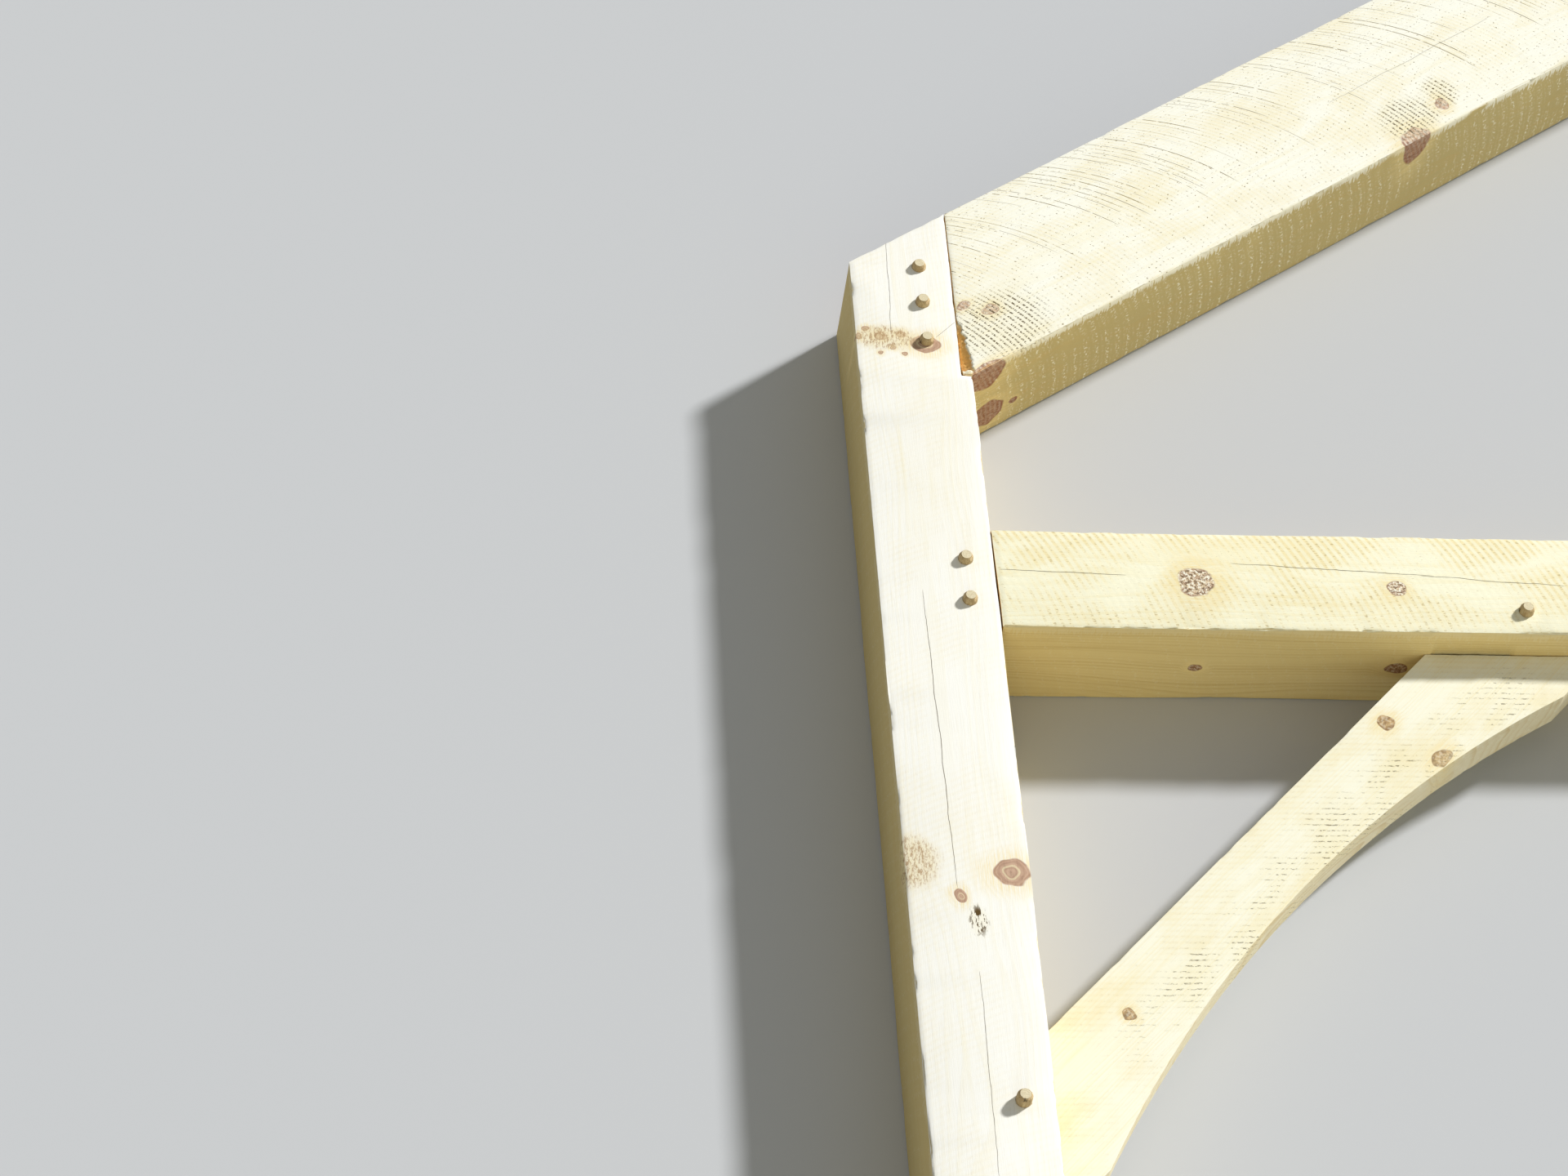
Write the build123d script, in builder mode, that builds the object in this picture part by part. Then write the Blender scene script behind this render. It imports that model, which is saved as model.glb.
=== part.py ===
from build123d import *
from math import atan, cos, sqrt
import os

# A pegged timber roof truss with its two posts. It lies on its back: X runs along the span,
# Y up the truss and Z from its back to its front. The origin is in the middle of what it covers.
INCH = 25.4
FOOT = 12 * INCH

# Timbers
TIMBER = 8 * INCH  # side of the square posts, tie beam and king post
RAFTER_DEPTH = 13 * INCH  # square to the rafter's length
BRACE_THICK = 3 * INCH
BRACE_DEPTH = 8.7 * INCH  # of the plank that the curve is cut from
BRACE_WAIST = 5.15 * INCH  # left at the middle of the curve

# Layout
SPAN = 22 * FOOT  # over the outer faces of the posts
POST_LENGTH = 10 * FOOT  # stock length, up to its tallest corner
PITCH = 8 / 12  # rise of the roof for its run
HEEL = 23.85 * INCH  # roof line above the tie beam, at a post's outer face
BRACE_LEG = 29.2 * INCH  # from the inner corner to the brace's straight edge
BRACE_END = 4.7 * INCH  # straight stretch at each end of the curve

# Joints
HOUSING = 0.75 * INCH  # how far a rafter's end is let into a post's face
TENON_THICK = 2 * INCH
TENON_LENGTH = 4.5 * INCH
HEAD_TENON_LENGTH = 2.75 * INCH  # at the king post, which takes a rafter on each side
TENON_INSET = 0.5 * INCH  # from a timber's edge to its tenon's edge
TENON_COVER = 2 * INCH  # wood left over a rafter's tenon, under the roof line
KING_TENON_WIDTH = 5 * INCH
JOINT_FIT = 0.5  # clearance around a tenon

# Pegs
PEG_DIAMETER = 1 * INCH
PEG_TIP = 0.7 * INCH  # diameter of the tapered end
PEG_TAPER = 0.3 * INCH  # length of the tapered end
PEG_PROUD = 0.6 * INCH  # what stands out of the front
BRACE_FOOT_PEG_PROUD = 0.85 * INCH
PEG_SHORT = 0.125 * INCH  # from the back of the truss to the peg's other end
PEG_FIT = 0.25  # clearance around a peg
RAFTER_PEG_EDGE = 2.25 * INCH  # from a rafter's foot cut
RAFTER_PEG_HEIGHTS = [3.05 * INCH, 6.55 * INCH, 9.9 * INCH]  # above the rafter's seat
HEAD_PEG_EDGE = 1.5 * INCH  # from a rafter's head cut
TIE_PEG_EDGE = 1.95 * INCH  # from the tie beam's shoulder
TIE_PEG_DROPS = [2.45 * INCH, 5.8 * INCH]  # below the tie beam's top
BRACE_FOOT_PEG_EDGE = 2.05 * INCH  # from the post's inner face
BRACE_HEAD_PEG_EDGE = 1.85 * INCH  # from the tie beam's underside
BRACE_PEG_SHIFT = 0.5 * INCH  # of both brace pegs, up and outwards from the tenons' middles
KING_PEG_EDGE = 2.1 * INCH  # below the tie beam's top
KING_PEG_SPACING = 2.5 * INCH

# Heights above the posts' feet and distances from mid-span
HALF_SPAN = SPAN / 2
INNER = HALF_SPAN - TIMBER  # inner face of a post
KING = TIMBER / 2  # side face of the king post
TIE_TOP = POST_LENGTH - HEEL - TIMBER * PITCH
TIE_BOTTOM = TIE_TOP - TIMBER
PLUMB_DEPTH = RAFTER_DEPTH / cos(atan(PITCH))
FOOT_CUT = -(INNER + HOUSING)
HEAD_CUT = -(KING - HOUSING)
BRACE_LEG_OUT = BRACE_LEG + BRACE_DEPTH * sqrt(2)
BRACE_MIDDLE = (BRACE_LEG + BRACE_LEG_OUT) / 2


def roof(x):
    """Height of the roof line on the left half."""
    return TIE_TOP + HEEL + (HALF_SPAN + x) * PITCH


def soffit(x):
    """Height of the left rafter's underside."""
    return roof(x) - PLUMB_DEPTH


FOOT_SEAT = soffit(-INNER)
HEAD_SEAT = soffit(-KING)
MIDDLE = roof(0) / 2


def layer(z):
    """A plane at the height z, with its origin at mid-span on the level of the posts' feet."""
    return Plane((0, -MIDDLE, z))


def prism(points, bottom, height, grow=0):
    """A block with the given outline, which grow moves outwards."""
    with BuildPart() as block:
        with BuildSketch(layer(bottom)):
            with BuildLine():
                Polyline(*points, close=True)
            make_face()
            if grow:
                offset(amount=grow, kind=Kind.INTERSECTION)
        extrude(amount=height)
    return block.part


def joint(points):
    """A tenon with the given outline, in the middle of the timbers, and the mortise for it."""
    back = (TIMBER - TENON_THICK) / 2
    tenon = prism(points, back, TENON_THICK)
    mortise = prism(points, back - JOINT_FIT, TENON_THICK + 2 * JOINT_FIT, grow=JOINT_FIT)
    return tenon, mortise


def bores(places):
    """Round bores through the whole truss, one for each peg."""
    with BuildPart() as bore:
        with BuildSketch(layer(0)):
            with Locations(*places):
                Circle(PEG_DIAMETER / 2 + PEG_FIT)
        extrude(amount=TIMBER)
    return bore.part


def mirrored(shape):
    """The same shape on the other side of mid-span."""
    return mirror(shape, about=Plane.YZ)


def under_tie(across, down):
    """A place in the left corner, from the post's inner face and the tie beam's underside."""
    return (-INNER + across, TIE_BOTTOM - down)


# Joints of the left half
FOOT_TENON_END = FOOT_CUT - TENON_LENGTH
rafter_foot_tenon, rafter_foot_mortise = joint([
    (FOOT_CUT, FOOT_SEAT + TENON_INSET),
    (FOOT_CUT, roof(FOOT_CUT) - TENON_COVER),
    (FOOT_TENON_END, roof(FOOT_TENON_END) - TENON_COVER),
    (FOOT_TENON_END, FOOT_SEAT + TENON_INSET),
])
HEAD_TENON_END = HEAD_CUT + HEAD_TENON_LENGTH
rafter_head_tenon, rafter_head_mortise = joint([
    (HEAD_CUT, HEAD_SEAT + TENON_INSET),
    (HEAD_TENON_END, HEAD_SEAT + TENON_INSET),
    (HEAD_TENON_END, roof(HEAD_CUT) - TENON_COVER),
    (HEAD_CUT, roof(HEAD_CUT) - TENON_COVER),
])
tie_tenon, tie_mortise = joint([
    (-INNER, TIE_BOTTOM + TENON_INSET),
    (-INNER, TIE_TOP - TENON_INSET),
    (-INNER - TENON_LENGTH, TIE_TOP - TENON_INSET),
    (-INNER - TENON_LENGTH, TIE_BOTTOM + TENON_INSET),
])
king_tenon, king_mortise = joint([
    (-KING_TENON_WIDTH / 2, TIE_TOP),
    (KING_TENON_WIDTH / 2, TIE_TOP),
    (KING_TENON_WIDTH / 2, TIE_TOP - TENON_LENGTH),
    (-KING_TENON_WIDTH / 2, TIE_TOP - TENON_LENGTH),
])
brace_foot_tenon, brace_foot_mortise = joint([
    under_tie(0, BRACE_LEG + TENON_INSET),
    under_tie(-TENON_LENGTH, BRACE_LEG + TENON_INSET + TENON_LENGTH),
    under_tie(-TENON_LENGTH, BRACE_LEG_OUT - TENON_INSET),
    under_tie(0, BRACE_LEG_OUT - TENON_INSET),
])
brace_head_tenon, brace_head_mortise = joint([
    under_tie(BRACE_LEG + TENON_INSET, 0),
    under_tie(BRACE_LEG_OUT - TENON_INSET, 0),
    under_tie(BRACE_LEG_OUT - TENON_INSET, -TENON_LENGTH),
    under_tie(BRACE_LEG + TENON_INSET + TENON_LENGTH, -TENON_LENGTH),
])

# Peg places of the left half, and of the king post's foot
rafter_foot_pegs = [(FOOT_CUT - RAFTER_PEG_EDGE, FOOT_SEAT + h) for h in RAFTER_PEG_HEIGHTS]
rafter_head_pegs = [(HEAD_CUT + HEAD_PEG_EDGE, HEAD_SEAT + h) for h in RAFTER_PEG_HEIGHTS]
tie_pegs = [(-INNER - TIE_PEG_EDGE, TIE_TOP - drop) for drop in TIE_PEG_DROPS]
brace_foot_pegs = [under_tie(-BRACE_FOOT_PEG_EDGE, BRACE_MIDDLE - BRACE_PEG_SHIFT)]
brace_head_pegs = [under_tie(BRACE_MIDDLE + BRACE_PEG_SHIFT, -BRACE_HEAD_PEG_EDGE)]
king_pegs = [(side * KING_PEG_SPACING / 2, TIE_TOP - KING_PEG_EDGE) for side in (-1, 1)]

# Bores of the left half
rafter_foot_bores = bores(rafter_foot_pegs)
rafter_head_bores = bores(rafter_head_pegs)
tie_bores = bores(tie_pegs)
brace_foot_bores = bores(brace_foot_pegs)
brace_head_bores = bores(brace_head_pegs)
king_bores = bores(king_pegs)

# Post: its top follows the roof, and its inner face is cut back above the rafter's seat
with BuildPart() as post:
    with BuildSketch(layer(0)):
        with BuildLine():
            Polyline(
                (-HALF_SPAN, 0),
                (-INNER, 0),
                (-INNER, FOOT_SEAT),
                (FOOT_CUT, FOOT_SEAT),
                (FOOT_CUT, roof(FOOT_CUT)),
                (-HALF_SPAN, roof(-HALF_SPAN)),
                close=True,
            )
        make_face()
    extrude(amount=TIMBER)
    add(rafter_foot_mortise, mode=Mode.SUBTRACT)
    add(tie_mortise, mode=Mode.SUBTRACT)
    add(brace_foot_mortise, mode=Mode.SUBTRACT)
    add(rafter_foot_bores, mode=Mode.SUBTRACT)
    add(tie_bores, mode=Mode.SUBTRACT)
    add(brace_foot_bores, mode=Mode.SUBTRACT)

# Tie beam
with BuildPart() as tie_beam:
    with BuildSketch(layer(0)):
        with Locations((0, (TIE_TOP + TIE_BOTTOM) / 2)):
            Rectangle(2 * INNER, TIMBER)
    extrude(amount=TIMBER)
    add(tie_tenon)
    add(mirrored(tie_tenon))
    add(king_mortise, mode=Mode.SUBTRACT)
    add(king_bores, mode=Mode.SUBTRACT)
    for cut in (brace_head_mortise, brace_head_bores, tie_bores):
        add(cut, mode=Mode.SUBTRACT)
        add(mirrored(cut), mode=Mode.SUBTRACT)

# King post: both sides are cut back above the rafters' seats, and its top is the ridge
with BuildPart() as king_post:
    with BuildSketch(layer(0)):
        with BuildLine():
            Polyline(
                (0, TIE_TOP),
                (-KING, TIE_TOP),
                (-KING, HEAD_SEAT),
                (HEAD_CUT, HEAD_SEAT),
                (HEAD_CUT, roof(HEAD_CUT)),
                (0, roof(0)),
                close=True,
            )
        make_face()
        mirror(about=Plane.YZ)
    extrude(amount=TIMBER)
    add(king_tenon)
    add(king_bores, mode=Mode.SUBTRACT)
    for cut in (rafter_head_mortise, rafter_head_bores):
        add(cut, mode=Mode.SUBTRACT)
        add(mirrored(cut), mode=Mode.SUBTRACT)

# Rafter, cut plumb at both ends, with a level seat under each end
with BuildPart() as rafter:
    with BuildSketch(layer(0)):
        with BuildLine():
            Polyline(
                (FOOT_CUT, FOOT_SEAT),
                (FOOT_CUT, roof(FOOT_CUT)),
                (HEAD_CUT, roof(HEAD_CUT)),
                (HEAD_CUT, HEAD_SEAT),
                (-KING, HEAD_SEAT),
                (-INNER, FOOT_SEAT),
                close=True,
            )
        make_face()
    extrude(amount=TIMBER)
    add(rafter_foot_tenon)
    add(rafter_head_tenon)
    add(rafter_foot_bores, mode=Mode.SUBTRACT)
    add(rafter_head_bores, mode=Mode.SUBTRACT)

# Brace: a plank at 45 degrees, with a shallow curve cut out of its lower edge
BRACE_CURVE_END = BRACE_END / sqrt(2)
BRACE_CURVE_MIDDLE = (BRACE_LEG + BRACE_WAIST * sqrt(2)) / 2
with BuildPart() as brace:
    with BuildSketch(layer((TIMBER - BRACE_THICK) / 2)):
        with BuildLine():
            curve_foot = under_tie(BRACE_CURVE_END, BRACE_LEG_OUT - BRACE_CURVE_END)
            curve_head = under_tie(BRACE_LEG_OUT - BRACE_CURVE_END, BRACE_CURVE_END)
            Polyline(
                curve_foot,
                under_tie(0, BRACE_LEG_OUT),
                under_tie(0, BRACE_LEG),
                under_tie(BRACE_LEG, 0),
                under_tie(BRACE_LEG_OUT, 0),
                curve_head,
            )
            ThreePointArc(curve_head, under_tie(BRACE_CURVE_MIDDLE, BRACE_CURVE_MIDDLE), curve_foot)
        make_face()
    extrude(amount=BRACE_THICK)
    add(brace_foot_tenon)
    add(brace_head_tenon)
    add(brace_foot_bores, mode=Mode.SUBTRACT)
    add(brace_head_bores, mode=Mode.SUBTRACT)


def peg(place, proud=PEG_PROUD):
    """A round peg through the truss, tapered at the end that stands out of the front."""
    tip = TIMBER + proud
    with BuildPart() as pin:
        with BuildSketch(layer(PEG_SHORT)):
            with Locations(place):
                Circle(PEG_DIAMETER / 2)
        extrude(amount=tip - PEG_TAPER - PEG_SHORT)
        with BuildSketch(layer(tip - PEG_TAPER)):
            with Locations(place):
                Circle(PEG_DIAMETER / 2)
        with BuildSketch(layer(tip)):
            with Locations(place):
                Circle(PEG_TIP / 2)
        loft()
    return pin.part


def save(shape, name):
    """Writes a finished piece under its own name."""
    shape.label = name
    export_step(shape, f"parts/{name}.step")


def save_both(shape, name):
    """Writes a piece of the left half and its twin of the right half."""
    save(shape, f"left_{name}")
    save(mirrored(shape), f"right_{name}")


os.makedirs("parts", exist_ok=True)
save(tie_beam.part, "tie_beam")
save(king_post.part, "king_post")
save_both(post.part, "post")
save_both(rafter.part, "rafter")
save_both(brace.part, "brace")
for number, place in enumerate(king_pegs, 1):
    save(peg(place), f"king_post_peg_{number}")
side_pegs = {
    "rafter_foot_peg": (rafter_foot_pegs, PEG_PROUD),
    "rafter_head_peg": (rafter_head_pegs, PEG_PROUD),
    "tie_peg": (tie_pegs, PEG_PROUD),
    "brace_foot_peg": (brace_foot_pegs, BRACE_FOOT_PEG_PROUD),
    "brace_head_peg": (brace_head_pegs, PEG_PROUD),
}
for name, (places, proud) in side_pegs.items():
    for number, place in enumerate(places, 1):
        save_both(peg(place, proud), f"{name}_{number}")
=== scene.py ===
import math
import random

import bpy
from mathutils import Euler, Matrix, Vector, noise
from mathutils.kdtree import KDTree


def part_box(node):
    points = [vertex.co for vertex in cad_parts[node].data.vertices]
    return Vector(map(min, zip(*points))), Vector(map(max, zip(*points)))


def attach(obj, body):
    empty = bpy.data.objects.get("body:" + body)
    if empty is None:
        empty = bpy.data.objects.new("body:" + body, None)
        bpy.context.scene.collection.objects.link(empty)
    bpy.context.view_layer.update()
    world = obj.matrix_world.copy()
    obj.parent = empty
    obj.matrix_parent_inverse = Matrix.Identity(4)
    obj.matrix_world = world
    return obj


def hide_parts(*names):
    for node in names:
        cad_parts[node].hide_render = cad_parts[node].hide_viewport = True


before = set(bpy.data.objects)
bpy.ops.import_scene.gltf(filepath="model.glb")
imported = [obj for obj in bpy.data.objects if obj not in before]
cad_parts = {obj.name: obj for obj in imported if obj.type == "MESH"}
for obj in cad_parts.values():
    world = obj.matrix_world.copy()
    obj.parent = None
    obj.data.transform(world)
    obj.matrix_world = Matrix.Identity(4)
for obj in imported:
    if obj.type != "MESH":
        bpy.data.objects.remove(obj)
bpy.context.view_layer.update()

# A pegged timber roof truss of rough sawn pale pine, lying on its back.
# The model is in metres, and the wood's patterns are in inches from each timber's own corner.
INCH = 0.0254
PITCH = 8 / 12
THICK = 8  # inches from the timbers' backs to their fronts

# Places that the frame gives
post_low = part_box("left_post")[0]
tie_low, tie_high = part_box("tie_beam")
rafter_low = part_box("left_rafter")[0]
brace_low, brace_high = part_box("left_brace")
FRONT = tie_high.z
TIMBER = tie_high.y - tie_low.y
OUTER = post_low.x
INNER = OUTER + TIMBER
FOOT = post_low.y
TIE_TOP = tie_high.y
TIE_BOTTOM = tie_low.y
SLOPE = math.atan(PITCH)
RAFTER_DEPTH = 13 * INCH
BRACE_DEPTH = 8.7 * INCH
HEAD_SEAT = rafter_low.y + (-TIMBER / 2 - INNER) * PITCH
PEG_RADIUS = 0.5 * INCH
PEG_TIP_RADIUS = 0.35 * INCH
PEG_TAPER = 0.3 * INCH


def spot(across, up, deep=0):
    """A place, in inches from the left post's outer face, the tie beam's top and the front."""
    return Vector((OUTER + across * INCH, TIE_TOP + up * INCH, FRONT - deep * INCH))


class Timber:
    """A CAD timber, and the corner and direction that its grain is laid out from.

    Fine is the stretch, in inches along it, that is cut closely. Wane is how worn its arrises are.
    """

    def __init__(self, node, corner, turn, depth, fine=(0, 0), wane=0.3, low_wane=0.5):
        self.node = node
        self.corner = Vector((corner[0], corner[1], 0))
        self.turn = turn
        self.depth = depth
        self.fine = fine
        self.wane = wane
        self.low_wane = low_wane
        self.along = Vector((math.cos(turn), math.sin(turn), 0))
        self.across = Vector((-math.sin(turn), math.cos(turn), 0))
        self.low, self.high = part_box(node)

    def local(self, place):
        """A place of the model as inches along the grain, across the front face and up from the back."""
        offset = place - self.corner
        return Vector((offset.dot(self.along), offset.dot(self.across), offset.z)) / INCH

    def on_front(self, across, up):
        """A spot of the front, as inches along and across this timber."""
        return self.local(spot(across, up))


QUARTER = math.pi / 2
EIGHTH = math.pi / 4
left_post = Timber("left_post", (INNER, FOOT), QUARTER, TIMBER, fine=(42, 122), wane=0.45)
right_post = Timber("right_post", (-OUTER, FOOT), QUARTER, TIMBER)
tie_beam = Timber("tie_beam", (INNER, TIE_BOTTOM), 0, TIMBER, fine=(-1, 46), low_wane=0.7)
king_post = Timber("king_post", (TIMBER / 2, TIE_TOP), QUARTER, TIMBER)
left_rafter = Timber("left_rafter", (INNER, rafter_low.y), SLOPE, RAFTER_DEPTH, (-1, 62), low_wane=1.0)
right_rafter = Timber("right_rafter", (TIMBER / 2, HEAD_SEAT), -SLOPE, RAFTER_DEPTH)
left_brace = Timber("left_brace", (INNER, brace_low.y), EIGHTH, BRACE_DEPTH, (-1, 62), wane=0.18)
right_brace = Timber("right_brace", (-brace_high.x, TIE_BOTTOM), -EIGHTH, BRACE_DEPTH, wane=0.18)
timbers = [left_post, right_post, tie_beam, king_post, left_rafter, right_rafter, left_brace, right_brace]


def paint(red, green, blue):
    """A colour as it looks on a screen, 0 to 255, made linear."""
    def linear(value):
        share = value / 255
        return share / 12.92 if share <= 0.04045 else ((share + 0.055) / 1.055) ** 2.4
    return (linear(red), linear(green), linear(blue), 1)


class Amount:
    """A number of a finish, so that an expression on amounts adds its Math nodes."""

    def __init__(self, finish, socket):
        self.finish = finish
        self.socket = socket

    def __add__(self, other):
        return self.finish.math("ADD", self, other)

    def __radd__(self, other):
        return self.finish.math("ADD", other, self)

    def __sub__(self, other):
        return self.finish.math("SUBTRACT", self, other)

    def __rsub__(self, other):
        return self.finish.math("SUBTRACT", other, self)

    def __mul__(self, other):
        return self.finish.math("MULTIPLY", self, other)

    def __rmul__(self, other):
        return self.finish.math("MULTIPLY", other, self)

    def __truediv__(self, other):
        return self.finish.math("DIVIDE", self, other)

    def __rtruediv__(self, other):
        return self.finish.math("DIVIDE", other, self)

    def __abs__(self):
        return self.finish.math("ABSOLUTE", self)


class Finish:
    """A finish that is being put together: a material's, or the sky's."""

    def __init__(self, owner, shader="Principled BSDF"):
        self.owner = owner
        owner.use_nodes = True
        self.tree = owner.node_tree
        self.shader = self.tree.nodes[shader]

    def node(self, kind, settings=None, inputs=None):
        """Adds a node, makes its settings, and then gives its sockets their values or links."""
        node = self.tree.nodes.new("ShaderNode" + kind)
        for name, value in (settings or {}).items():
            setattr(node, name, value)
        for name, value in (inputs or {}).items():
            self.give(node.inputs[name], value)
        return node

    def give(self, socket, value):
        """Links a socket, or sets its value."""
        if isinstance(value, Amount):
            value = value.socket
        if isinstance(value, bpy.types.NodeSocket):
            self.tree.links.new(value, socket)
        else:
            socket.default_value = value

    def math(self, operation, *values):
        node = self.node("Math", {"operation": operation}, dict(enumerate(values)))
        return Amount(self, node.outputs[0])

    def vector(self, operation, *values):
        return self.node("VectorMath", {"operation": operation}, dict(enumerate(values))).outputs[0]

    def length(self, vector):
        node = self.node("VectorMath", {"operation": "LENGTH"}, {0: vector})
        return Amount(self, node.outputs["Value"])

    def facing(self, normal, axis):
        """How squarely a surface faces an axis, either way: 0 to 1."""
        node = self.node("VectorMath", {"operation": "DOT_PRODUCT"}, {0: normal, 1: axis})
        return abs(Amount(self, node.outputs["Value"]))

    def parts(self, vector):
        node = self.node("SeparateXYZ", inputs={0: vector})
        return [Amount(self, socket) for socket in node.outputs]

    def join(self, x, y, z):
        return self.node("CombineXYZ", inputs={0: x, 1: y, 2: z}).outputs[0]

    def fade(self, value, start, end):
        """0 before start, 1 past end, and smooth in between. End may be the lower one."""
        settings = {"interpolation_type": "SMOOTHSTEP"}
        node = self.node("MapRange", settings, {"Value": value, "From Min": start, "From Max": end})
        return Amount(self, node.outputs["Result"])

    def noise(self, point, scale, detail=2.0, roughness=0.5):
        """Soft noise around 0.5. The scale may be a number or one for each direction."""
        if isinstance(scale, tuple):
            point = self.vector("MULTIPLY", point, scale)
            scale = 1.0
        inputs = {"Vector": point, "Scale": scale, "Detail": detail, "Roughness": roughness}
        return Amount(self, self.node("TexNoise", inputs=inputs).outputs["Fac"])

    def line_noise(self, distance, scale, detail=2.0, roughness=0.5):
        """Noise that only changes with one distance."""
        inputs = {"W": distance, "Scale": scale, "Detail": detail, "Roughness": roughness}
        node = self.node("TexNoise", {"noise_dimensions": "1D"}, inputs)
        return Amount(self, node.outputs["Fac"])

    def mix(self, share, first, second):
        """The first colour where the share is 0, and the second where it is 1."""
        return self.node("Mix", {"data_type": "RGBA"}, {0: share, 6: first, 7: second}).outputs[2]

    def highest(self, first, second):
        return self.math("MAXIMUM", first, second)


# Colours of the pine
STRAW = paint(248, 236, 188)
OLIVE = paint(214, 186, 122)
AMBER = paint(206, 146, 72)
END_GRAIN = paint(228, 186, 124)
SPLIT = paint(232, 174, 84)
SPLIT_PALE = paint(248, 206, 138)
KNOT_DARK = paint(96, 72, 46)
KNOT_GLOW = paint(248, 226, 164)
BAND = paint(244, 228, 174)
DASH = paint(196, 172, 116)
BLADE = paint(132, 112, 64)
SHADOW = paint(94, 72, 34)
SOIL = paint(242, 224, 172)
SOIL_SPECK = paint(176, 138, 96)
# Pale specks in knots, and on the sides a painted highlight where the sun would catch raised fibres
PALE_FLECK_AND_HIGHLIGHT = paint(255, 252, 234)

# Sizes of the patterns, in inches
RING_WIDTH = 0.21
BLADE_RADIUS = 17.5
AXLE_DROP = 1
HAIRLINE = 0.014
CURVE_LENGTH = 58.7
CURVE_RISE = 3.55

RELIEF = 0.0006  # metres that one unit of a finish's height stands out
FAR = 50  # radii of a knot, which is past any place's nearest one


def band_path(f, u, t):
    """Marks that lean back across the face and bend a little, made of nicks along the grain."""
    distance = u + t * 0.42 + (t - 4) * (t - 4) * 0.02 + f.line_noise(t, 0.35) * 0.3
    return distance, f.noise(f.point, (2.0, 10, 10), 3.0, 0.65)


def level_path(f, u, t):
    """Marks at half a right angle to the grain, made of nicks along the marks themselves."""
    distance = (u + t) * math.sqrt(0.5) + f.line_noise(t, 0.3) * 0.15
    along = (u - t) * math.sqrt(0.5)
    return distance, f.noise(f.join(along * 4.2, distance * 13, f.w * 5), 1.0, 3.0, 0.65)


def round_path(f, u, t):
    """Arcs of a large round blade whose axle runs just below the timber's lower edge."""
    rise = t + AXLE_DROP
    reach = f.math("SQRT", f.math("MAXIMUM", BLADE_RADIUS ** 2 - rise * rise, 4))
    return u - reach, f.noise(f.point, (2.4, 9, 9), 3.0, 0.65)


class Look:
    """How a timber came out: the colours of its fronts and sides, its blade marks, torn grain and knots.

    Path and pace lay out the blade's marks: bands, dashes, long lines, specks and the sides' pale
    flecking, which is painted highlight where the sun would catch raised fibres. The side colour is
    darker than the face colour, partly as unbleached wood and partly as painted shade. Grain and mottle
    vary the front's colour, and lumps roughen it. Rows, tear and sparse are for torn grain, and grit,
    streaks, rings, heart and bark for knots.
    """

    def __init__(self, face, side, path, pace, bands, dashes, lines=False, specks=0.0, grit=0.0,
                 highlight_flecks=0.15, grain=0.4, mottle=0.3, rows=1.0, tear=0.85, sparse=0.0, streaks=0.0,
                 rings=0.15, lumps=0.6, heart=(206, 156, 114), bark=(160, 104, 74)):
        self.face = paint(*face)
        self.side = paint(*side)
        self.path = path
        self.pace = pace
        self.bands = bands
        self.dashes = dashes
        self.lines = lines
        self.specks = specks
        self.grit = grit
        self.highlight_flecks = highlight_flecks
        self.grain = grain
        self.mottle = mottle
        self.rows = rows
        self.tear = tear
        self.sparse = sparse
        self.streaks = streaks
        self.rings = rings
        self.lumps = lumps
        self.heart = paint(*heart)
        self.bark = paint(*bark)


def along_curve(f):
    """A band beside the brace's curved edge, as the grain runs out there."""
    middle = CURVE_LENGTH / 2
    share = (f.u - middle) / middle
    above = f.v - (1 - share * share) * CURVE_RISE
    band = f.fade(above, -0.5, 0.0) * f.fade(above, 4.4, 1.6)
    band = band * f.fade(f.u, 9, 16) * f.fade(f.u, 57, 50)
    return band * f.fade(f.noise(f.point, (0.3, 0.5, 0.5)), 0.34, 0.6)


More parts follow.
